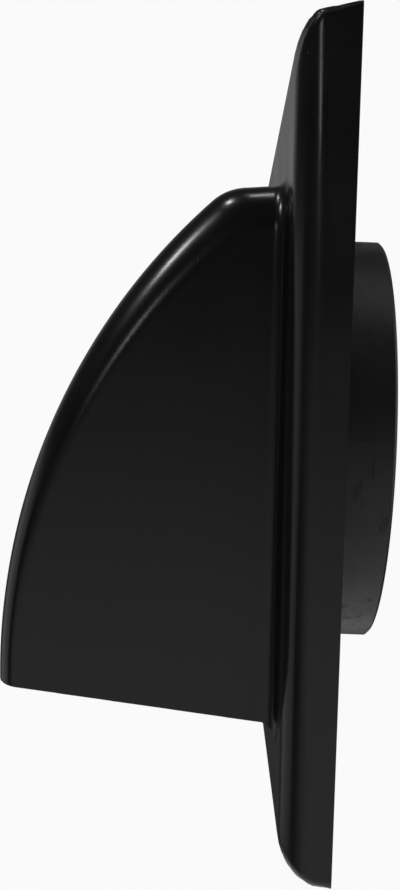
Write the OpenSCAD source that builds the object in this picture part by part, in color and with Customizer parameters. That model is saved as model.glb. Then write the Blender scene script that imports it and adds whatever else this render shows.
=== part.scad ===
// Hooded vent cover for a 100 mm duct, with a back-draught flap and a hinged mouth guard.
// Units are millimetres. The wall plane is Y = 0, the duct axis is the Y axis, +Z is up,
// and the hood projects towards -Y.

/* [Flange] */
// half the side of the square flange at the wall
flange_half = 83; // [70:0.5:100]
// how far the flange face stands off the wall at its top edge
depth_top = 12.1; // [8:0.1:16]
// how far the flange face stands off the wall at its bottom edge
depth_bottom = 9.8; // [6:0.1:16]
// depth of the straight part of the flange's edge at the top
skirt_top = 6.5; // [3:0.5:9]
// depth of the straight part of the flange's edge at the bottom
skirt_bottom = 1.5; // [1:0.5:9]
// how far the flat floor inside the hood stands off the wall
floor_depth = 12; // [10:0.5:16]
// how much the straight edge leans in
skirt_draft = 1; // [0:0.1:2]
// width of the rounded front edge
edge_width = 7.5; // [4:0.5:10]
// corner radius of the flange at the wall
corner_radius = 1.5; // [1:0.5:5]
// radius of the top corners of the flange's face
face_corner_top = 8.5; // [6:0.5:12]
// radius of the bottom corners of the flange's face
face_corner_bottom = 3; // [2:0.5:12]
// wall thickness of the moulding
wall = 2.5; // [1.5:0.1:4]

/* [Hood] */
// half the width of the hood
hood_half = 59; // [50:0.5:70]
// height of the hood's top where it leaves the flange
hood_top = 54.9; // [45:0.1:60]
// fall of the hood's top towards the front, in degrees
top_fall = 5.2; // [0:0.1:20]
// radius of the hood's brow, seen from the side
brow_radius = 11; // [3:0.5:20]
// radius of the hood's curved front, seen from the side
front_radius = 134.4; // [100:0.1:200]
// distance of that curve's centre behind the wall plane
front_centre_y = 64.7; // [40:0.1:120]
// height of that curve's centre
front_centre_z = -46.6; // [-80:0.1:0]
// how far in from the side the hood's edges start to round over
side_reach = 9; // [4:0.5:12]
// how deep the rounding of those edges goes
side_depth = 5.8; // [3:0.1:5.9]
// how far the hood's front bulges in the middle
crown = 1; // [0:0.1:1]
// height of the mouth edge at the flange
mouth_z = -58.7; // [-70:0.1:-50]
// rise of the mouth edge towards the front, in degrees
mouth_rise = 6; // [0:0.5:15]
// radius of the hollow between hood and flange
root_radius = 3.5; // [1:0.5:6]

/* [Duct collar] */
// outer radius of the duct collar
collar_radius = 50; // [40:0.5:80]
// wall thickness of the collar
collar_wall = 2.5; // [1.5:0.1:4]
// how far the collar stands out behind the wall plane
collar_reach = 14.3; // [8:0.1:60]

/* [Fixing] */
// half the distance between the wall screw holes
screw_half = 67.5; // [60:0.5:80]
// radius of the blind holes that the wall screws cut into
screw_hole = 1.75; // [1.25:0.05:2.25]

/* [Flap] */
// radius of the flap
flap_radius = 48.2; // [40:0.1:60]
// thickness of the flap
flap_thickness = 1.6; // [1:0.1:3]
// radius of the flap's hinge rod
rod_radius = 1.5; // [1:0.1:2.5]

/* [Guard] */
// thickness of the mouth guard
guard_thickness = 2.2; // [1.5:0.1:4]
// half the width of the mouth guard
guard_half = 53.5; // [40:0.5:60]
// width of each slot in the guard
slot_width = 5; // [3:0.5:8]
// clear running gap around the hinge rod and pins
running_gap = 0.05; // [0.02:0.01:0.1]

/* [Hidden] */
$fn = 64;

// flange and floor
inner_corner = max(corner_radius - 2, 0.5);
plate_front = -floor_depth;
plate_back = -floor_depth + wall;
pocket_half = 57.8;
// foam gasket behind the flange's edge
gasket_half = 78.8;
gasket_inner = 74;
gasket_thickness = 3;
// wall screws come from behind into blind posts
post_radius = 4.2;
post_skin = 2.8;
// duct collar: seal, plate and the circle of its four screws
bore_radius = collar_radius - collar_wall;
seal_front = plate_back + 1;
collar_plate_back = seal_front + 2.5;
collar_chamfer = 0.6;
lobe = 61 * sqrt(0.5);
screw_shaft = 1.75;
screw_bore = 2;
// damper frame, its lip, the seal on it and the flap
frame_front = plate_front - 2;
frame_opening = 45;
opening_top = 38.4;
lip_front = frame_front - 2.5;
seat_front = lip_front - 0.8;
flap_back = seat_front - 0.3;
flap_front = flap_back - flap_thickness;
weight_front = flap_front - 1.5;
// the flap's shoulders stay below the ears that hold its hinge rod
shoulder_z = 39.9;
ear_radius = 3.1;
hinge_y = -17;
hinge_z = 43.5;
// weight, rivets and rubber buffers on the flap
rivet_x = 9;
rivet_z = -37;
bumper_x = 14;
bumper_z = -43.6;
// guard hinge
guard_y = -17;
guard_z = -55.2;
lug_radius = 2.8;

// ---------- helpers ----------

// a flat outline drawn in X and Z, thickened from y_front to y_back
module slab(y_front, y_back) {
    translate([0, y_back, 0])
        rotate([90, 0, 0])
            linear_extrude(y_back - y_front)
                children();
}

// a round bar along Y
module bar_y(radius, y_front, y_back, x = 0, z = 0) {
    translate([x, y_back, z])
        rotate([90, 0, 0])
            cylinder(r = radius, h = y_back - y_front);
}

// a round bar along X
module bar_x(radius, x_low, x_high, y, z) {
    translate([x_low, y, z])
        rotate([0, 90, 0])
            cylinder(r = radius, h = x_high - x_low);
}

// a plain block given by its two corners
module block(low, high) {
    translate(low)
        cube(high - low);
}

// the same piece on both sides of the middle
module both_sides() {
    children();
    mirror([1, 0, 0])
        children();
}

// ---------- flange ----------

// share of the way up the flange, 0 at its bottom edge and 1 at its top edge
function height_share(z) = (z + flange_half) / (2 * flange_half);
function flange_depth(z) = depth_bottom + (depth_top - depth_bottom) * height_share(z);
function skirt_depth(z) = skirt_bottom + (skirt_top - skirt_bottom) * height_share(z);

// ---------- side outline of the hood ----------

function mouth_height(y) = mouth_z - (y - plate_front) * tan(mouth_rise);
function top_height(y) = hood_top + (y - plate_front) * tan(top_fall);

// how far the skin sits inside the outermost outline at x
function edge_inset(x, half, reach, depth) =
    let (over = max(0, abs(x) - (half - reach)) / reach)
    crown * pow(x / hood_half, 2) + depth * (1 - sqrt(max(0, 1 - over * over)));

// brow arc: touches the sloping top line and the big front curve
top_normal = [-sin(top_fall), cos(top_fall)];
top_run = [-cos(top_fall), -sin(top_fall)];
front_centre = [front_centre_y, front_centre_z];
brow_start = [plate_front, hood_top] - brow_radius * top_normal - front_centre;
brow_half_b = brow_start * top_run;
brow_c = brow_start * brow_start - pow(front_radius - brow_radius, 2);
brow_run = -brow_half_b + sqrt(brow_half_b * brow_half_b - brow_c);
brow_centre = [plate_front, hood_top] - brow_radius * top_normal + brow_run * top_run;
brow_axis = brow_centre - front_centre;
// angles are measured from +Z towards the front
brow_end_angle = atan2(-brow_axis[0], brow_axis[1]);
front_end_angle = 90;
function toward(angle) = [-sin(angle), cos(angle)];

// outline of a hood slice that sits inset inside the outer skin
function hood_outline(inset, y_back, below) =
    concat(
        [[y_back, top_height(y_back) - inset / cos(top_fall)]],
        [for (i = [0 : 8])
            brow_centre
            + (brow_radius - inset) * toward(top_fall + (brow_end_angle - top_fall) * i / 8)],
        [for (i = [1 : 16])
            front_centre
            + (front_radius - inset)
            * toward(brow_end_angle + (front_end_angle - brow_end_angle) * i / 16)],
        [[front_centre_y - front_radius + inset, mouth_height(front_centre_y - front_radius) - below]],
        [[y_back, mouth_height(y_back) - below]]
    );

// positions across the hood, closer together where its edges round over
function across(half, reach) =
    let (flat = half - reach)
    concat(
        [for (i = [0 : 6]) -flat - reach * cos(15 * i)],
        [for (i = [1 : 9]) -flat + 2 * flat * i / 10],
        [for (i = [0 : 6]) flat + reach * sin(15 * i)]
    );

// a closed solid through a list of rings that all have the same number of points
module skin(rings) {
    n = len(rings[0]);
    m = len(rings);
    points = [for (ring = rings) for (p = ring) p];
    sides = [
        for (j = [0 : m - 2])
            for (i = [0 : n - 1])
                let (k = (i + 1) % n)
                [j * n + i, (j + 1) * n + i, (j + 1) * n + k, j * n + k]
    ];
    low_cap = [[for (i = [0 : n - 1]) i]];
    high_cap = [[for (i = [n - 1 : -1 : 0]) (m - 1) * n + i]];
    polyhedron(points, concat(low_cap, sides, high_cap), convexity = 6);
}

module hood_solid(inset, depth, y_back, below) {
    half = hood_half - inset;
    reach = side_reach - inset;
    skin([
        for (x = across(half, reach))
            let (sunk = inset + edge_inset(x, half, reach, depth))
            [for (p = hood_outline(sunk, y_back, below)) [x, p[0], p[1]]]
    ]);
}

// square outline with corners rounded by top and by bottom, as points [x, z]
function square_outline(half, top, bottom) = [
    for (q = [0 : 3])
        for (i = [0 : 6])
            let (a = 90 * q + 15 * i)
            let (sx = (q == 0 || q == 3) ? 1 : -1)
            let (sz = (q < 2) ? 1 : -1)
            let (r = (q < 2) ? top : bottom)
            [sx * (half - r) + r * cos(a), sz * (half - r) + r * sin(a)]
];

// that outline as a ring of a flange surface: the edge leans in over its straight part, which
// is less deep by less, then turns through angle towards the face, which is thinner by thin
function edge_ring(half, top, bottom, angle, less, thin) = [
    for (p = square_outline(half, top, bottom))
        let (q = p * (1 - skirt_draft * skirt_depth(p[1]) / skirt_top / flange_half))
        let (skirt = skirt_depth(q[1]) - less)
        let (face = flange_depth(q[1]) - thin)
        [q[0], -skirt - (face - skirt) * sin(angle), q[1]]
];

module pan_outside() {
    skin(concat(
        [[for (p = square_outline(flange_half, corner_radius, corner_radius)) [p[0], 0, p[1]]]],
        [for (i = [0 : 8])
            let (a = 90 * i / 8)
            edge_ring(
                flange_half - edge_width * (1 - cos(a)),
                corner_radius + (face_corner_top - corner_radius) * sin(a),
                corner_radius + (face_corner_bottom - corner_radius) * sin(a), a, 0, 0
            )]
    ));
}

module pan_inside() {
    skin(concat(
        [[for (p = square_outline(flange_half - wall + 0.2, inner_corner, inner_corner))
            [p[0], 1, p[1]]]],
        [for (i = [0 : 8])
            let (a = 90 * i / 8)
            edge_ring(
                flange_half - wall - (edge_width - 1) * (1 - cos(a)),
                inner_corner + (face_corner_top - 1.5 - inner_corner) * sin(a),
                inner_corner + (max(face_corner_bottom - 1.5, 0.5) - inner_corner) * sin(a),
                a, 1, wall
            )]
    ));
    // flat back of the hood's floor, where the duct collar seats
    block([-pocket_half, plate_back, -pocket_half], [pocket_half, 0, pocket_half]);
}

// the hollow curve where the hood grows out of the flange
module hood_root() {
    xs = across(hood_half, side_reach);
    top = [for (x = xs) [x, edge_inset(x, hood_half, side_reach, side_depth) / cos(top_fall)]];
    skin([
        for (i = [-1 : 8])
            let (a = 90 * max(i, 0) / 8)
            let (forward = i < 0 ? -2.5 : root_radius * (1 - cos(a)))
            let (y_high = -flange_depth(hood_top) - forward)
            let (y_low = -flange_depth(mouth_z) - forward)
            // the last ring ends just under the hood's skin, so that the two cross cleanly
            let (out = i < 0 ? root_radius : root_radius * (1 - sin(a)) - 0.2 * sin(a))
            let (grow = (hood_half + out) / hood_half)
            concat(
                [for (t = top) [-t[0] * grow, y_high, top_height(y_high) - t[1] + out]],
                [[-hood_half - out, y_low, mouth_height(y_low) - 0.7 * out],
                 [hood_half + out, y_low, mouth_height(y_low) - 0.7 * out]]
            )
    ]);
}

// ---------- cowl ----------

module cowl_shell() {
    difference() {
        union() {
            pan_outside();
            hood_solid(0, side_depth, -wall - depth_bottom / 2, 0);
            hood_root();
        }
        hood_solid(wall, side_depth - wall, plate_front, 6);
        pan_inside();
    }
}

module cowl_posts() {
    $fn = 24;
    for (x = [-1, 1])
        for (z = [-1, 1]) {
            bar_y(post_radius, 1 - flange_depth(z * screw_half), 0, x * screw_half, z * screw_half);
            bar_y(4.5, plate_back - 0.5, seal_front, x * lobe, z * lobe);
        }
}

module cowl_lugs() {
    $fn = 24;
    both_sides()
        union() {
            bar_x(lug_radius, 44, 47, guard_y, guard_z);
            block([44, guard_y, guard_z - lug_radius], [47, plate_front + 0.5, guard_z + lug_radius]);
        }
}

module cowl() {
    color([0.025, 0.025, 0.027])
        difference() {
            resize([2 * flange_half, 0, 0])
                union() {
                    cowl_shell();
                    cowl_posts();
                    cowl_lugs();
                }
            bar_y(bore_radius, plate_front - 1, plate_back + 1);
            for (x = [-1, 1])
                for (z = [-1, 1]) {
                    bar_y(screw_hole, post_skin - flange_depth(z * screw_half), 1,
                        x * screw_half, z * screw_half);
                    bar_y(screw_bore, plate_front - 1, seal_front + 1, x * lobe, z * lobe);
                }
            bar_x(rod_radius, -48, 48, guard_y, guard_z);
        }
}

// foam square behind the flange's edge, flush with it
module wall_gasket() {
    color([0.09, 0.09, 0.09])
        slab(-gasket_thickness, 0)
            difference() {
                union() {
                    square([2 * gasket_half, 2 * gasket_half - 8], center = true);
                    square([2 * gasket_half - 8, 2 * gasket_half], center = true);
                    for (x = [-1, 1])
                        for (z = [-1, 1])
                            translate([x * (gasket_half - 4), z * (gasket_half - 4)])
                                circle(r = 4);
                }
                square([2 * gasket_inner, 2 * gasket_inner], center = true);
            }
}

// ---------- duct collar ----------

module duct_collar() {
    color([0.05, 0.05, 0.053])
        difference() {
            union() {
                slab(seal_front, collar_plate_back)
                    difference() {
                        union() {
                            circle(r = 57.5);
                            for (x = [-1, 1])
                                for (z = [-1, 1])
                                    translate([x * lobe, z * lobe])
                                        circle(r = 5);
                        }
                        circle(r = bore_radius);
                    }
                difference() {
                    bar_y(collar_radius, collar_plate_back - 0.5, collar_reach - collar_chamfer);
                    bar_y(bore_radius, -20, 20);
                }
                difference() {
                    translate([0, collar_reach, 0])
                        rotate([90, 0, 0])
                            cylinder(
                                r1 = collar_radius - collar_chamfer,
                                r2 = collar_radius, h = collar_chamfer
                            );
                    bar_y(bore_radius, -20, 20);
                }
            }
            for (x = [-1, 1])
                for (z = [-1, 1])
                    bar_y(screw_bore, seal_front - 1, collar_plate_back + 1, x * lobe, z * lobe);
        }
}

module collar_seal() {
    color([0.13, 0.13, 0.13])
        slab(plate_back, seal_front)
            difference() {
                circle(r = 56);
                circle(r = 50.5);
            }
}

// pan-head screws with a cross recess
module collar_screws() {
    color([0.72, 0.72, 0.74])
        for (x = [-1, 1])
            for (z = [-1, 1])
                difference() {
                    union() {
                        bar_y(screw_shaft, frame_front - 4.5, collar_plate_back + 0.2,
                            x * lobe, z * lobe);
                        bar_y(3.4, collar_plate_back, collar_plate_back + 2.4, x * lobe, z * lobe);
                    }
                    translate([x * lobe, collar_plate_back + 2.5, z * lobe]) {
                        cube([3.6, 3, 0.9], center = true);
                        cube([0.9, 3, 3.6], center = true);
                    }
                }
}

// ---------- damper frame and flap ----------

// the half plane below z
module below(z) {
    translate([-80, z - 160])
        square([160, 160]);
}

// round opening with a flat top that the air passes through
module air_way() {
    intersection() {
        circle(r = frame_opening);
        below(opening_top);
    }
}

module damper_frame() {
    color([0.06, 0.06, 0.062])
        difference() {
            union() {
                slab(frame_front, plate_front)
                    difference() {
                        union() {
                            intersection() {
                                circle(r = 53);
                                below(49.2);
                            }
                            for (a = [45, 135, 225, 315])
                                rotate(a) {
                                    translate([50, -4.6])
                                        square([11, 9.2]);
                                    translate([61, 0])
                                        circle(r = 4.6);
                                }
                        }
                        air_way();
                    }
                slab(lip_front, frame_front + 0.2)
                    difference() {
                        intersection() {
                            circle(r = 47.2);
                            below(40.2);
                        }
                        air_way();
                    }
                for (x = [-1, 1])
                    for (z = [-1, 1])
                        bar_y(3.5, frame_front - 6, frame_front + 0.2, x * lobe, z * lobe);
                both_sides()
                    union() {
                        bar_x(ear_radius, 20.3, 23.3, hinge_y, hinge_z);
                        block(
                            [20.3, hinge_y, hinge_z - ear_radius],
                            [23.3, frame_front + 0.2, hinge_z + ear_radius]
                        );
                    }
            }
            for (x = [-1, 1])
                for (z = [-1, 1])
                    bar_y(1.8, frame_front - 5, plate_front + 1, x * lobe, z * lobe);
            bar_x(rod_radius, -30, 30, hinge_y, hinge_z);
        }
}

module flap_seal() {
    color([0.16, 0.16, 0.16])
        slab(seat_front, lip_front)
            difference() {
                intersection() {
                    circle(r = 47);
                    below(40);
                }
                intersection() {
                    circle(r = 45.3);
                    below(38.7);
                }
            }
}

module damper_flap() {
    color([0.08, 0.08, 0.083])
        difference() {
            union() {
                slab(flap_front, flap_back)
                    difference() {
                        intersection() {
                            circle(r = flap_radius);
                            union() {
                                below(shoulder_z);
                                translate([-20, 0])
                                    square([40, shoulder_z + 1.7]);
                            }
                        }
                        for (x = [-rivet_x, rivet_x])
                            translate([x, rivet_z])
                                circle(r = 1);
                        for (x = [-bumper_x, bumper_x])
                            translate([x, bumper_z])
                                circle(r = 1.2);
                    }
                bar_x(2.6, -20, 20, hinge_y, hinge_z);
                // stiffening ribs down the flap's face
                for (x = [-24, 0, 24])
                    block([x - 0.7, flap_front - 1, -28], [x + 0.7, flap_front + 0.3, 38]);
            }
            bar_x(rod_radius + running_gap, -30, 30, hinge_y, hinge_z);
        }
}

module flap_rod() {
    color([0.75, 0.75, 0.76])
        bar_x(rod_radius, -26.5, 26.5, hinge_y, hinge_z);
}

module rod_caps() {
    color([0.05, 0.05, 0.05])
        both_sides()
            difference() {
                union() {
                    bar_x(2.9, 23.3, 26.5, hinge_y, hinge_z);
                    bar_x(2.2, 26.5, 27.5, hinge_y, hinge_z);
                }
                bar_x(rod_radius, 23, 26.5, hinge_y, hinge_z);
            }
}

module flap_weight() {
    color([0.6, 0.6, 0.62])
        slab(weight_front, flap_front)
            difference() {
                translate([0, rivet_z])
                    square([30, 6], center = true);
                for (x = [-rivet_x, rivet_x])
                    translate([x, rivet_z])
                        circle(r = 1);
            }
}

module flap_rivets() {
    color([0.78, 0.78, 0.8])
        for (x = [-rivet_x, rivet_x]) {
            bar_y(1, weight_front - 0.3, flap_back + 0.2, x, rivet_z);
            bar_y(1.9, weight_front - 0.7, weight_front, x, rivet_z);
        }
}

module flap_bumpers() {
    color([0.12, 0.12, 0.12])
        for (x = [-bumper_x, bumper_x]) {
            bar_y(1.2, flap_front - 1, flap_back, x, bumper_z);
            bar_y(2.4, flap_front - 2.2, flap_front, x, bumper_z);
        }
}

// ---------- mouth guard ----------
// drawn flat: X across, the second axis from the hinge to the front, the third upwards

module at_guard() {
    translate([0, guard_y, guard_z])
        rotate([-mouth_rise, 0, 0])
            mirror([0, 1, 0])
                children();
}

slot_start = 6;
slot_end = 35;
slot_count = 14;
slot_pitch = (2 * guard_half - 8 - slot_width) / (slot_count - 1);
catch_x = 3;
catch_y = 41.5;

// the places of the eight small screws that hold the screen's frame
module at_screen_screws() {
    for (x = [-51.2, -15, 15, 51.2])
        for (y = [4.9, 36.6])
            translate([x, y, 0])
                children();
}

module guard_panel() {
    color([0.05, 0.05, 0.052])
        difference() {
            union() {
                at_guard()
                    union() {
                        translate([0, 0, -guard_thickness])
                            linear_extrude(guard_thickness)
                                difference() {
                                    union() {
                                        translate([-guard_half, 3.8])
                                            square([2 * guard_half, 34.2]);
                                        translate([-guard_half + 8, 30])
                                            square([2 * guard_half - 16, 16]);
                                        both_sides()
                                            translate([guard_half - 8, 38])
                                                circle(r = 8);
                                    }
                                    for (i = [0 : slot_count - 1])
                                        translate([-guard_half + 4 + i * slot_pitch, slot_start])
                                            square([slot_width, slot_end - slot_start]);
                                    at_screen_screws()
                                        circle(r = 0.7);
                                    for (x = [-catch_x, catch_x])
                                        translate([x, catch_y])
                                            circle(r = 0.8);
                                }
                        both_sides()
                            block([38, 1.7, -2], [43, 4.4, -0.3]);
                        // stiffening rib across the slots, below the mesh
                        block([-guard_half + 3, 19.6, -2], [guard_half - 3, 21.4, -0.2]);
                    }
                both_sides()
                    bar_x(2.3, 37.3, 43.7, guard_y, guard_z);
            }
            bar_x(rod_radius + running_gap, -50, 50, guard_y, guard_z);
        }
}

module guard_pins() {
    color([0.75, 0.75, 0.76])
        both_sides()
            bar_x(rod_radius, 36.5, 47.4, guard_y, guard_z);
}

mesh_pitch = 4;
mesh_gap = 3.2;

module insect_screen() {
    color([0.55, 0.56, 0.57])
        at_guard()
            linear_extrude(0.5)
                difference() {
                    translate([-52.4, 4])
                        square([104.8, 33.6]);
                    for (i = [-12 : 12])
                        for (j = [0 : 6])
                            translate([i * mesh_pitch - mesh_gap / 2, 7.2 + j * mesh_pitch])
                                square([mesh_gap, mesh_gap]);
                    at_screen_screws()
                        circle(r = 0.8);
                }
}

module screen_frame() {
    color([0.05, 0.05, 0.052])
        at_guard()
            translate([0, 0, 0.5])
                linear_extrude(1.2)
                    difference() {
                        translate([-52.9, 3.6])
                            square([105.8, 34.4]);
                        translate([-49.5, 6.4])
                            square([99, 28.8]);
                        at_screen_screws()
                            circle(r = 0.8);
                    }
}

module screen_screws() {
    color([0.72, 0.72, 0.74])
        at_guard()
            at_screen_screws()
                union() {
                    translate([0, 0, -2])
                        cylinder(r = 0.7, h = 3.8);
                    translate([0, 0, 1.7])
                        cylinder(r1 = 1.2, r2 = 0.9, h = 0.7);
                }
}

// bent spring strip that bears on the inside of the hood's front
module guard_catch() {
    color([0.7, 0.7, 0.72])
        difference() {
            at_guard()
                translate([-5, 0, 0])
                    rotate([90, 0, 90])
                        linear_extrude(10)
                            polygon([
                                [39, 0], [46.2, 0], [47.9, 2.6], [46.4, 5.6],
                                [45.9, 5.3], [47.2, 2.6], [45.9, 0.5], [39, 0.5]
                            ]);
            at_guard()
                for (x = [-catch_x, catch_x])
                    translate([x, catch_y, -1])
                        cylinder(r = 0.85, h = 4);
        }
}

module catch_rivets() {
    color([0.78, 0.78, 0.8])
        at_guard()
            for (x = [-catch_x, catch_x])
                translate([x, catch_y, 0])
                    union() {
                        translate([0, 0, -2])
                            cylinder(r = 0.8, h = 2.6);
                        translate([0, 0, 0.5])
                            cylinder(r = 1.4, h = 0.5);
                    }
}

cowl();
wall_gasket();
duct_collar();
collar_seal();
collar_screws();
damper_frame();
flap_seal();
damper_flap();
flap_rod();
rod_caps();
flap_weight();
flap_rivets();
flap_bumpers();
guard_panel();
guard_pins();
insect_screen();
screen_frame();
screen_screws();
guard_catch();
catch_rivets();
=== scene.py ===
import math

import bpy
import numpy as np
from mathutils import Matrix, Vector


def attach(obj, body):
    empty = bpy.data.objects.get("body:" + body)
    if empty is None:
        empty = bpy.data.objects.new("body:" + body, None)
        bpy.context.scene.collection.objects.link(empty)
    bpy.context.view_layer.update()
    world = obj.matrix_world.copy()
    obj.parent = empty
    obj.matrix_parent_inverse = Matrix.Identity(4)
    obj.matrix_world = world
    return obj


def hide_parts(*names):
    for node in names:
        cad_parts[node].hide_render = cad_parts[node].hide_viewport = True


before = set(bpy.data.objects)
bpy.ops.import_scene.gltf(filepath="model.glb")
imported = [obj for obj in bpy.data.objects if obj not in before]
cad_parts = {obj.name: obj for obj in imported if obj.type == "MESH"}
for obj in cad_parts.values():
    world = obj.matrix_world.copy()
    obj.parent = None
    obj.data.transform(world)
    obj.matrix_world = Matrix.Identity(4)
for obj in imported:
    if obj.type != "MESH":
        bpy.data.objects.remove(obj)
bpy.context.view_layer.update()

MM = 0.001

# ---------- camera, at the photograph's viewing angle ----------

CAMERA_AT = (0.29378, -0.02333, 0.00492)
CAMERA_ROLL = math.radians(2.13)
CAMERA_LENS = 45.96
CAMERA_SHIFT = (-0.0260, -0.0354)


def make_camera():
    """A camera that looks along -X, rolled a little, with the optical axis a little off centre."""
    data = bpy.data.cameras.new("camera")
    data.lens = CAMERA_LENS
    data.sensor_width = 36
    data.shift_x, data.shift_y = CAMERA_SHIFT
    data.clip_start = 0.01
    camera = bpy.data.objects.new("camera", data)
    bpy.context.collection.objects.link(camera)
    right, up, back = Vector((0, 1, 0)), Vector((0, 0, 1)), Vector((1, 0, 0))
    c, s = math.cos(CAMERA_ROLL), math.sin(CAMERA_ROLL)
    turned = Matrix((c * right + s * up, c * up - s * right, back)).transposed()
    camera.matrix_world = Matrix.Translation(CAMERA_AT) @ turned.to_4x4()
    bpy.context.scene.camera = camera


# ---------- cowl, in millimetres, to the CAD's dimensions ----------

FLANGE_HALF = 83.0
DEPTH_TOP, DEPTH_BOTTOM = 12.1, 9.8
SKIRT_TOP, SKIRT_BOTTOM = 6.5, 1.5
SKIRT_LEAN = 1 / SKIRT_TOP
EDGE_WIDTH = 7.5
# corner radii at the wall, and at the face for the bottom and the top corners
CORNERS = (1.5, 3.0, 8.5)
INNER_CORNERS = (0.5, 1.5, 7.0)
WALL = 2.5
FLOOR_Y = -12.0
POCKET_HALF = 57.8
POCKET_Y = FLOOR_Y + WALL

# outline of the hood, seen from the side: sloping top, brow and curved front
HOOD_HALF = 59.0
HOOD_TOP = 54.9
TOP_FALL = math.radians(5.2)
BROW_RADIUS = 11.0
FRONT_RADIUS = 134.4
FRONT_CENTRE = np.array([64.7, -46.6])
# rounding of the hood's side edges, and the hollow curve at its root
SIDE_REACH = 9.0
SIDE_DEPTH_LOW, SIDE_DEPTH_HIGH = 4.5, 12.0
CROWN = 1.0
MOUTH_Z = -58.7
MOUTH_RISE = math.radians(6)
ROOT_RADIUS = 3.2
ROOT_RADIUS_TOP = 2.5
ROOT_RISE_FROM = 35.0
HOOD_BACK = -7.25

BORE_RADIUS = 47.5
SCREW_HALF = 67.5
SCREW_HOLE = 1.75
POST_SKIN = 2.8
POST_RADIUS = 4.2
LOBE = 61 * math.sqrt(0.5)
LOBE_HOLE, PAD_RADIUS, PAD_BACK = 2.0, 4.5, -8.5
LUG_Y, LUG_Z, LUG_RADIUS = -17.0, -55.2, 2.8
LUG_MIDDLE, LUG_HALF = 45.5, 1.5
PIN_RADIUS = 1.5

COWL_PITCH = 1.25
# the grid of cells goes a little past the cowl on every side
GRID_HALF = FLANGE_HALF + 1.1
GRID_FRONT, GRID_BACK = -71.3, 1.6
# shading is read this share of the way from a face's corner to its middle
CORNER_STEP = 0.15
# an edge that turns by more than this is shaded as sharp
SHARP = math.radians(40)


def brow_blend():
    """Width of the smooth step between top and front that cuts the corner as the brow arc does."""
    top = np.array([-math.sin(TOP_FALL), math.cos(TOP_FALL)])
    run = np.array([-math.cos(TOP_FALL), -math.sin(TOP_FALL)])
    under = np.array([FLOOR_Y, HOOD_TOP]) - BROW_RADIUS * top
    start = under - FRONT_CENTRE
    half_b = start @ run
    c = start @ start - (FRONT_RADIUS - BROW_RADIUS) ** 2
    away = start + (-half_b + math.sqrt(half_b * half_b - c)) * run
    turn = math.acos(top @ away / np.linalg.norm(away))
    return 4 * BROW_RADIUS * (1 - math.cos(turn / 2))


BROW_BLEND = brow_blend()


def round_join(a, b, radius):
    """Union of two solids with a hollow curve between them."""
    bite = np.hypot(np.maximum(radius - a, 0), np.maximum(radius - b, 0))
    return np.maximum(radius, np.minimum(a, b)) - bite


def quarter_round(over, width, rise, height):
    """Distance from an edge rounded as a quarter ellipse, width across and height deep."""
    u = np.maximum(over, 0) / width
    v = np.maximum(rise, 0) / height
    share = np.hypot(u, v)
    length = np.hypot(u * width, v * height)
    curved = length * (1 - 1 / np.maximum(share, 1e-9))
    return np.where(share > 1e-6, curved, np.maximum(over - width, rise - height))


def square_inset(x, z, half, corner, corner_low, corner_high, width):
    """How far a point is inside a square whose corner radius grows from edge to face."""
    corner_end = np.where(z > 0, corner_high, corner_low)
    across, up = np.abs(x), np.abs(z)
    inset = np.zeros(np.broadcast(x, z).shape)
    for _ in range(6):
        radius = corner + (corner_end - corner) * np.clip(inset / width, 0, 1)
        qx, qz = across - (half - inset - radius), up - (half - inset - radius)
        outer = np.hypot(np.maximum(qx, 0), np.maximum(qz, 0))
        inset = inset - (outer + np.minimum(np.maximum(qx, qz), 0) - radius)
    return inset


def flange_depth(z):
    return DEPTH_BOTTOM + (DEPTH_TOP - DEPTH_BOTTOM) * (z + FLANGE_HALF) / (2 * FLANGE_HALF)


def skirt_depth(z):
    return SKIRT_BOTTOM + (SKIRT_TOP - SKIRT_BOTTOM) * (z + FLANGE_HALF) / (2 * FLANGE_HALF)


def pan(x, y, z, half, corners, width, skirt, face):
    """The tray shape of the flange, filled: a leaning skirt that rounds over to a flat face."""
    inset = square_inset(x, z, half, *corners, width)
    lean = np.minimum(-y, skirt) * SKIRT_LEAN
    return quarter_round(width - inset + lean, width, -y - skirt, face - skirt)


def side_profile(y, z):
    """Distance from the hood's outline, seen from the side."""
    top = (z - HOOD_TOP - (y - FLOOR_Y) * math.tan(TOP_FALL)) * math.cos(TOP_FALL)
    front = np.hypot(y - FRONT_CENTRE[0], z - FRONT_CENTRE[1]) - FRONT_RADIUS
    near = np.maximum(BROW_BLEND - np.abs(top - front), 0) / BROW_BLEND
    return np.maximum(top, front) + BROW_BLEND / 4 * near ** 2


def side_depth(z):
    """How deep the hood's side edges are rounded: deeper towards its brow."""
    share = np.clip((z - MOUTH_Z) / (HOOD_TOP - MOUTH_Z), 0, 1)
    return SIDE_DEPTH_LOW + (SIDE_DEPTH_HIGH - SIDE_DEPTH_LOW) * share ** 2


def hood(x, y, z, inset):
    """The hood, filled, with its skin moved in by inset."""
    reach, depth = SIDE_REACH - inset, side_depth(z) - inset
    profile = side_profile(y, z) + inset + CROWN * (x / HOOD_HALF) ** 2
    return quarter_round(np.abs(x) - (HOOD_HALF - inset - reach), reach, profile + depth, depth)


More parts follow.
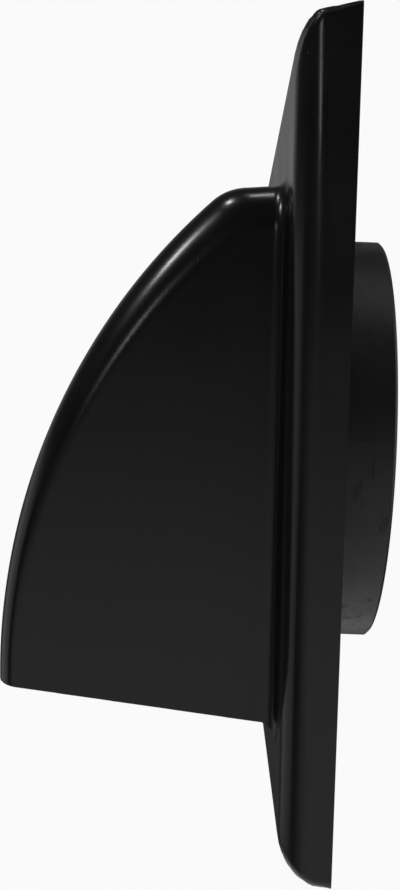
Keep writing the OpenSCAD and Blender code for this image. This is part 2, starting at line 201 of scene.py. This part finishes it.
def cowl_field(x, y, z):
    """Below zero inside the moulding and above zero outside it."""
    skirt, face = skirt_depth(z), flange_depth(z)
    flange = pan(x, y, z, FLANGE_HALF, CORNERS, EDGE_WIDTH, skirt, face)
    mouth = (MOUTH_Z - (y - FLOOR_Y) * math.tan(MOUTH_RISE) - z) * math.cos(MOUTH_RISE)
    body = np.maximum(hood(x, y, z, 0), mouth)
    rise = np.clip((z - ROOT_RISE_FROM) / (HOOD_TOP - ROOT_RISE_FROM), 0, 1)
    root = ROOT_RADIUS + (ROOT_RADIUS_TOP - ROOT_RADIUS) * rise ** 2
    solid = round_join(np.maximum(body, y - HOOD_BACK), np.maximum(flange, y), root)
    inside = np.maximum(hood(x, y, z, WALL), y - FLOOR_Y)
    solid = np.maximum(solid, -inside)
    hollow = pan(
        x, y, z, FLANGE_HALF - WALL, INNER_CORNERS,
        EDGE_WIDTH - 1, skirt - 1, face - WALL,
    )
    wide = np.maximum(np.abs(x), np.abs(z))
    solid = np.maximum(solid, -np.minimum(hollow, np.maximum(wide - POCKET_HALF, POCKET_Y - y)))
    # screw posts, seats of the collar screws and lugs of the guard's pins
    post = np.hypot(np.abs(x) - SCREW_HALF, np.abs(z) - SCREW_HALF)
    lobe = np.hypot(np.abs(x) - LOBE, np.abs(z) - LOBE)
    solid = np.minimum(solid, np.maximum(np.maximum(post - POST_RADIUS, y), 1 - face - y))
    solid = np.minimum(
        solid, np.maximum(np.maximum(lobe - PAD_RADIUS, y - PAD_BACK), POCKET_Y - 0.5 - y)
    )
    lug = np.hypot(y - np.clip(y, LUG_Y, FLOOR_Y), z - LUG_Z) - LUG_RADIUS
    lug = np.maximum(np.maximum(lug, np.abs(np.abs(x) - LUG_MIDDLE) - LUG_HALF), y - FLOOR_Y - 1)
    solid = np.minimum(solid, lug)
    # bores
    solid = np.maximum(solid, np.minimum(SCREW_HOLE - post, y + face - POST_SKIN))
    front = y - FLOOR_Y + 1
    solid = np.maximum(solid, np.minimum(LOBE_HOLE - lobe, front))
    solid = np.maximum(solid, np.minimum(BORE_RADIUS - np.hypot(x, z), front))
    pin = np.minimum(PIN_RADIUS - np.hypot(y - LUG_Y, z - LUG_Z), 48 - np.abs(x))
    return np.maximum(solid, pin)


# ---------- surface of a field ----------

MIDDLE_PULL = 0.02
CELL_EDGE = 0.02


def slope(field, points, step=0.01):
    """Unit direction in which the field rises fastest."""
    rise = np.empty_like(points)
    for axis in range(3):
        move = np.zeros(3)
        move[axis] = step
        rise[:, axis] = field(*(points + move).T) - field(*(points - move).T)
    return rise / np.maximum(np.linalg.norm(rise, axis=1, keepdims=True), 1e-12)


def crossing(field, start, axis, pitch):
    """Where the field changes sign on grid edges that begin at start."""
    low, high = np.zeros(len(start)), np.full(len(start), pitch)
    below = field(*start.T) < 0
    for _ in range(14):
        middle = (low + high) / 2
        point = start.copy()
        point[:, axis] += middle
        same = (field(*point.T) < 0) == below
        low, high = np.where(same, middle, low), np.where(same, high, middle)
    point = start.copy()
    point[:, axis] += (low + high) / 2
    return point


def contour(field, low, high, pitch):
    """Quad mesh of the field's zero surface that keeps sharp edges (dual contouring)."""
    axes = [np.arange(a, b + pitch, pitch) for a, b in zip(low, high)]
    inside = field(axes[0][:, None, None], axes[1][None, :, None], axes[2][None, None, :]) < 0
    shape = np.array(inside.shape)
    cells, points, normals, quads = [], [], [], []
    for axis in range(3):
        ahead = [slice(None)] * 3
        behind = [slice(None)] * 3
        ahead[axis], behind[axis] = slice(1, None), slice(None, -1)
        change = inside[tuple(ahead)] != inside[tuple(behind)]
        index = np.argwhere(change)
        start = np.array(low) + index * pitch
        point = crossing(field, start, axis, pitch)
        around = []
        for db, dc in ((-1, -1), (0, -1), (0, 0), (-1, 0)):
            cell = index.copy()
            cell[:, (axis + 1) % 3] += db
            cell[:, (axis + 2) % 3] += dc
            around.append(np.ravel_multi_index(cell.T, shape))
        around = np.stack(around, axis=1)
        leaving = inside[tuple(index.T)]
        quads.append(np.where(leaving[:, None], around, around[:, ::-1]))
        cells.append(around.ravel())
        points.append(np.repeat(point, 4, axis=0))
        normals.append(np.repeat(slope(field, point), 4, axis=0))
    cells, points, normals = map(np.concatenate, (cells, points, normals))
    used, slot = np.unique(cells, return_inverse=True)
    count = np.bincount(slot)

    def total(values):
        return np.bincount(slot, weights=values, minlength=len(used))

    middle = np.stack([total(points[:, i]) / count for i in range(3)], axis=1)
    # each vertex lies as near as it can to all the tangent planes that meet in its cell, and
    # a weak pull towards the middle of the crossings settles it where the planes agree
    offset = np.sum(normals * (points - middle[slot]), axis=1)
    push = np.stack([total(normals[:, i] * offset) for i in range(3)], axis=1)
    spread = np.empty((len(used), 3, 3))
    for i in range(3):
        for j in range(3):
            spread[:, i, j] = total(normals[:, i] * normals[:, j])
    spread += MIDDLE_PULL * count[:, None, None] * np.eye(3)
    vertex = middle + np.linalg.solve(spread, push[:, :, None])[:, :, 0]
    corner = np.array(low) + np.stack(np.unravel_index(used, shape), axis=1) * pitch
    vertex = np.clip(vertex, corner + CELL_EDGE * pitch, corner + (1 - CELL_EDGE) * pitch)
    rank = np.full(int(np.prod(shape)), -1)
    rank[used] = np.arange(len(used))
    return vertex, rank[np.concatenate(quads)]


def make_cowl():
    """The cowl's mesh, with each face corner's shading direction taken from the true surface."""
    low = (-GRID_HALF, GRID_FRONT, -GRID_HALF)
    high = (GRID_HALF, GRID_BACK, GRID_HALF)
    vertex, quads = contour(cowl_field, low, high, COWL_PITCH)
    mesh = bpy.data.meshes.new("cowl_moulding")
    mesh.from_pydata((vertex * MM).tolist(), [], quads.tolist())
    mesh.polygons.foreach_set("use_smooth", np.ones(len(mesh.polygons), bool))
    centre = vertex[quads].mean(axis=1)
    near = vertex[quads] + CORNER_STEP * (centre[:, None, :] - vertex[quads])
    shading = slope(cowl_field, near.reshape(-1, 3))
    diagonal = vertex[quads[:, 2]] - vertex[quads[:, 0]]
    flat = np.cross(diagonal, vertex[quads[:, 3]] - vertex[quads[:, 1]])
    flat = flat / np.maximum(np.linalg.norm(flat, axis=1, keepdims=True), 1e-12)
    flat = np.repeat(flat, 4, axis=0)
    agree = np.sum(flat * shading, axis=1) > math.cos(SHARP)
    shading = np.where(agree[:, None], shading, flat)
    mesh.normals_split_custom_set(shading.tolist())
    cowl = bpy.data.objects.new("cowl_moulding", mesh)
    bpy.context.collection.objects.link(cowl)
    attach(cowl, "cover")
    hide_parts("cowl")
    return cowl


# ---------- materials ----------


class Surface:
    """A material under construction: a Principled shader with noise in object space."""

    def __init__(self, name, rough, metallic=0.0, specular=0.5):
        self.material = bpy.data.materials.new(name)
        self.material.use_nodes = True
        self.nodes = self.material.node_tree.nodes
        self.links = self.material.node_tree.links
        self.shader = self.nodes["Principled BSDF"]
        self.shader.inputs["Roughness"].default_value = rough
        self.shader.inputs["Metallic"].default_value = metallic
        self.shader.inputs["Specular IOR Level"].default_value = specular
        self.place = self.nodes.new("ShaderNodeTexCoord").outputs["Object"]
        self.bump = None

    def stretched(self, x, y, z):
        mapping = self.nodes.new("ShaderNodeMapping")
        mapping.inputs["Scale"].default_value = (x, y, z)
        self.links.new(self.place, mapping.inputs["Vector"])
        return mapping.outputs["Vector"]

    def noise(self, size_mm, detail=2.0, place=None):
        """Cloudy noise whose features are about size_mm across."""
        node = self.nodes.new("ShaderNodeTexNoise")
        node.inputs["Scale"].default_value = 1 / (size_mm * MM)
        node.inputs["Detail"].default_value = detail
        self.links.new(place or self.place, node.inputs["Vector"])
        return node.outputs["Fac"]

    def specks(self, size_mm, share):
        """Small round spots: 1 inside a spot and 0 between them."""
        node = self.nodes.new("ShaderNodeTexVoronoi")
        node.inputs["Scale"].default_value = 1 / (size_mm * MM)
        self.links.new(self.place, node.inputs["Vector"])
        return self.ranged(node.outputs["Distance"], share, share * 0.4, 0, 1)

    def ranged(self, value, low, high, to_low, to_high):
        node = self.nodes.new("ShaderNodeMapRange")
        for name, number in (
            ("From Min", low), ("From Max", high), ("To Min", to_low), ("To Max", to_high),
        ):
            node.inputs[name].default_value = number
        self.links.new(value, node.inputs["Value"])
        return node.outputs["Result"]

    def colours(self, value, stops):
        """Colour that follows value through (position, colour) stops."""
        node = self.nodes.new("ShaderNodeValToRGB")
        ramp = node.color_ramp
        while len(ramp.elements) < len(stops):
            ramp.elements.new(0.5)
        for element, (position, colour) in zip(ramp.elements, stops):
            element.position = position
            element.color = (*colour, 1)
        self.links.new(value, node.inputs["Fac"])
        return node.outputs["Color"]

    def product(self, a, b):
        node = self.nodes.new("ShaderNodeMath")
        node.operation = "MULTIPLY"
        self.links.new(a, node.inputs[0])
        self.links.new(b, node.inputs[1])
        return node.outputs["Value"]

    def greater(self, a, b):
        node = self.nodes.new("ShaderNodeMath")
        node.operation = "MAXIMUM"
        self.links.new(a, node.inputs[0])
        self.links.new(b, node.inputs[1])
        return node.outputs["Value"]

    def set(self, socket, value):
        self.links.new(value, self.shader.inputs[socket])

    def raise_by(self, height, depth_mm, strength=1.0):
        """Bump: height 0 to 1 stands depth_mm proud; calls add up."""
        node = self.nodes.new("ShaderNodeBump")
        node.inputs["Distance"].default_value = depth_mm * MM
        node.inputs["Strength"].default_value = strength
        self.links.new(height, node.inputs["Height"])
        if self.bump is not None:
            self.links.new(self.bump, node.inputs["Normal"])
        self.bump = node.outputs["Normal"]
        self.links.new(self.bump, self.shader.inputs["Normal"])


def grey(value, blue=1.0):
    return (value, value, value * blue)


def gloss_black():
    """Gloss black moulding: faint orange peel, fine haze, dust specks and hairline rubs."""
    s = Surface("gloss_black_moulding", 0.2)
    haze = s.noise(26, 3)
    fine = s.noise(1.6, 4)
    rubs = s.noise(1.1, 3, s.stretched(1, 9, 0.16))
    dust = s.product(s.specks(3.2, 0.09), s.ranged(s.noise(11), 0.5, 0.62, 0, 1))
    s.set("Base Color", s.colours(s.greater(s.ranged(haze, 0.3, 0.7, 0, 0.6), dust), [
        (0.0, grey(0.0045, 1.05)), (0.6, grey(0.0075, 1.05)), (1.0, grey(0.09))]))
    rough = s.ranged(haze, 0.3, 0.7, 0.19, 0.27)
    s.set("Roughness", s.greater(rough, s.ranged(rubs, 0.62, 0.8, 0.1, 0.42)))
    s.raise_by(s.noise(4.5, 1), 0.006)
    s.raise_by(fine, 0.003)
    s.raise_by(dust, 0.03)
    return s.material


def satin_black(name, base, rough, grain_mm=0.5, grain_depth=0.012, flow=None):
    """Satin moulding: fine grain, soft patches and, along flow, drawn-out flow marks."""
    s = Surface(name, rough)
    patches = s.noise(14, 3)
    s.set("Base Color", s.colours(patches, [
        (0.3, grey(base * 0.75, 1.04)), (0.7, grey(base * 1.3, 1.03))]))
    low = s.ranged(patches, 0.3, 0.7, rough - 0.06, rough + 0.06)
    if flow:
        marks = s.noise(2.2, 4, s.stretched(*flow))
        s.set("Roughness", s.greater(low, s.ranged(marks, 0.52, 0.72, rough - 0.08, rough + 0.2)))
        s.raise_by(marks, 0.05)
    else:
        s.set("Roughness", low)
    s.raise_by(s.noise(grain_mm, 2), grain_depth)
    return s.material


def rubber(name, base, rough=0.75, pore_mm=0.6, pore_depth=0.05):
    """Matt rubber or closed-cell foam, with pores of about pore_mm."""
    s = Surface(name, rough, specular=0.35)
    s.set("Base Color", s.colours(s.noise(6, 4), [
        (0.3, grey(base * 0.7)), (0.7, grey(base * 1.35))]))
    s.set("Roughness", s.ranged(s.noise(3, 2), 0.3, 0.7, rough - 0.08, min(rough + 0.12, 1)))
    s.raise_by(s.noise(pore_mm, 3), pore_depth)
    return s.material


def metal(name, base, rough, drawn=None, stain=0.6, blue=1.02):
    """Bare or plated metal: drawn lines along the stretched axis and duller stains."""
    s = Surface(name, rough, metallic=1.0)
    stains = s.noise(3.5, 4)
    s.set("Base Color", s.colours(stains, [
        (0.32, grey(base * stain, 0.96)), (0.6, grey(base, blue))]))
    lines = s.noise(0.25, 3, s.stretched(*(drawn or (1, 1, 1))))
    s.set("Roughness", s.greater(
        s.ranged(lines, 0.3, 0.7, rough - 0.08, rough + 0.12),
        s.ranged(stains, 0.45, 0.3, rough - 0.1, rough + 0.25)))
    s.raise_by(lines, 0.008)
    return s.material


def dress(node, material):
    """Gives a CAD node its material."""
    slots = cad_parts[node].data.materials
    slots.clear()
    slots.append(material)


def dress_all():
    dress("wall_gasket", rubber("gasket_foam", 0.018, 0.85, 0.7, 0.12))
    dress("duct_collar", satin_black("collar_satin", 0.011, 0.44, 0.8, 0.012, flow=(1, 1, 0.3)))
    dress("collar_seal", rubber("seal_rubber", 0.03))
    dress("flap_seal", rubber("flap_seal_rubber", 0.028))
    dress("flap_bumpers", rubber("buffer_rubber", 0.02, 0.65))
    dress("damper_frame", satin_black("frame_satin", 0.014, 0.38))
    dress("damper_flap", satin_black("flap_satin", 0.02, 0.42))
    dress("rod_caps", satin_black("cap_nylon", 0.024, 0.45, 0.3, 0.008))
    dress("guard_panel", satin_black("guard_satin", 0.012, 0.36))
    dress("screen_frame", satin_black("screen_frame_satin", 0.015, 0.4))
    dress("collar_screws", metal("zinc_screws", 0.62, 0.3))
    dress("screen_screws", metal("small_zinc_screws", 0.62, 0.32))
    dress("flap_rod", metal("drawn_rod", 0.6, 0.22, (0.05, 1, 1)))
    dress("guard_pins", metal("drawn_pins", 0.6, 0.22, (0.05, 1, 1)))
    dress("flap_weight", metal("rolled_strip", 0.5, 0.35, (0.08, 1, 1), 0.5))
    dress("flap_rivets", metal("rivet_aluminium", 0.7, 0.34, stain=0.8))
    dress("catch_rivets", metal("small_rivet_aluminium", 0.7, 0.34, stain=0.8))
    dress("insect_screen", metal("screen_wire", 0.45, 0.36, stain=0.7))
    dress("guard_catch", metal("spring_steel", 0.5, 0.28, (1, 0.08, 1), 0.7))


# ---------- studio ----------

FLOOR_Z = -0.30
FLOOR_RADIUS = 0.42
FLOOR_GLOW = 0.6
# brightness of the backdrop and of the parts of the room around it
BACKDROP = 0.955
BEHIND_LIGHT = 0.24
BEFORE_LIGHT = 0.55
ROOM_LIGHT = 0.06
# the point that all the lights face
LIT_POINT = Vector((0, -0.03, 0))


def make_floor():
    """A round pale floor, well below the cover, which hangs as on a wall."""
    steps, rings = 96, 6  # around, and outwards
    points = [(0, 0, FLOOR_Z)]
    faces = []
    for ring in range(1, rings + 1):
        radius = FLOOR_RADIUS * (ring / rings) ** 2
        for i in range(steps):
            a = 2 * math.pi * i / steps
            points.append((radius * math.cos(a), radius * math.sin(a), FLOOR_Z))
    for i in range(steps):
        faces.append((0, 1 + i, 1 + (i + 1) % steps))
    for ring in range(rings - 1):
        for i in range(steps):
            a, b = 1 + ring * steps + i, 1 + ring * steps + (i + 1) % steps
            faces.append((a, a + steps, b + steps, b))
    mesh = bpy.data.meshes.new("floor")
    mesh.from_pydata(points, [], faces)
    s = Surface("floor_paper", 0.9, specular=0.1)
    paper = s.colours(s.noise(60), [(0.3, grey(0.86)), (0.7, grey(0.9))])
    s.set("Base Color", paper)
    s.set("Emission Color", paper)
    s.shader.inputs["Emission Strength"].default_value = FLOOR_GLOW
    distance = s.nodes.new("ShaderNodeVectorMath")
    distance.operation = "LENGTH"
    s.links.new(s.stretched(1, 1, 0), distance.inputs[0])
    s.set("Alpha", s.ranged(distance.outputs["Value"], 0.5 * FLOOR_RADIUS, FLOOR_RADIUS, 1, 0))
    mesh.materials.append(s.material)
    floor = bpy.data.objects.new("floor", mesh)
    bpy.context.collection.objects.link(floor)


def area_light(name, at, aim, width, height, power):
    """A soft rectangular light at a place, turned to face aim."""
    data = bpy.data.lights.new(name, "AREA")
    data.shape = "RECTANGLE"
    data.size, data.size_y = width, height
    data.energy = power
    light = bpy.data.objects.new(name, data)
    bpy.context.collection.objects.link(light)
    facing = (aim - at).to_track_quat("-Z", "Y").to_matrix()
    light.matrix_world = Matrix.Translation(at) @ facing.to_4x4()


def make_world():
    """Pale paper for the eye; what it lights is a dim room, paler high up behind the cover
    and low down on the camera's side."""
    world = bpy.data.worlds.new("studio")
    bpy.context.scene.world = world
    world.use_nodes = True
    nodes, links = world.node_tree.nodes, world.node_tree.links
    nodes.clear()
    split = nodes.new("ShaderNodeSeparateXYZ")
    links.new(nodes.new("ShaderNodeTexCoord").outputs["Generated"], split.inputs["Vector"])

    def step(axis, low, high, to_low, to_high):
        node = nodes.new("ShaderNodeMapRange")
        node.interpolation_type = "SMOOTHSTEP"
        for name, number in (
            ("From Min", low), ("From Max", high), ("To Min", to_low), ("To Max", to_high),
        ):
            node.inputs[name].default_value = number
        links.new(split.outputs[axis], node.inputs["Value"])
        return node.outputs["Result"]

    def product_plus(a, b, more):
        """a * b + more, where more is a socket or a number."""
        node = nodes.new("ShaderNodeMath")
        node.operation = "MULTIPLY_ADD"
        links.new(a, node.inputs[0])
        links.new(b, node.inputs[1])
        if isinstance(more, float):
            node.inputs[2].default_value = more
        else:
            links.new(more, node.inputs[2])
        return node.outputs["Value"]

    glow = product_plus(
        step("X", -0.9, -0.6, 1, 0), step("Z", -0.02, 0.1, 0, BEHIND_LIGHT), ROOM_LIGHT
    )
    glow = product_plus(
        step("X", 0.2, 0.8, 0, 1), step("Z", 0.15, -0.25, 0, BEFORE_LIGHT), glow
    )
    room = nodes.new("ShaderNodeBackground")
    backdrop = nodes.new("ShaderNodeBackground")
    mix = nodes.new("ShaderNodeMixShader")
    out = nodes.new("ShaderNodeOutputWorld")
    backdrop.inputs["Color"].default_value = (*grey(BACKDROP), 1)
    links.new(glow, room.inputs["Strength"])
    links.new(nodes.new("ShaderNodeLightPath").outputs["Is Camera Ray"], mix.inputs["Fac"])
    links.new(room.outputs["Background"], mix.inputs[1])
    links.new(backdrop.outputs["Background"], mix.inputs[2])
    links.new(mix.outputs["Shader"], out.inputs["Surface"])


# name, direction from the cover, distance, width, height and power of each soft light
LIGHTS = (
    ("key", (0.19, -0.68, 0.71), 1.0, 0.06, 0.10, 1.1),
    ("brow", (0.04, -0.39, 0.92), 1.0, 0.04, 0.04, 0.8),
    ("edge", (0.83, -0.46, 0.33), 1.2, 0.05, 0.10, 0.3),
    ("top", (-0.08, -0.04, 1.0), 1.1, 0.05, 0.05, 0.35),
    ("back", (0.1, 0.4, 0.9), 1.2, 0.25, 0.25, 1.6),
    ("rear", (-0.25, 0.95, 0.1), 1.2, 0.9, 0.9, 3.0),
    ("front", (-0.35, -0.92, -0.15), 1.2, 1.1, 0.8, 0.85),
)


def light_studio():
    bpy.context.scene.view_settings.view_transform = "Standard"
    make_world()
    for name, direction, distance, width, height, power in LIGHTS:
        place = Vector(direction).normalized() * distance
        area_light(name, place, LIT_POINT, width, height, power)


make_camera()
moulding = gloss_black()
dress("cowl", moulding)
cowl = make_cowl()
cowl.data.materials.append(moulding)
dress_all()
make_floor()
light_studio()
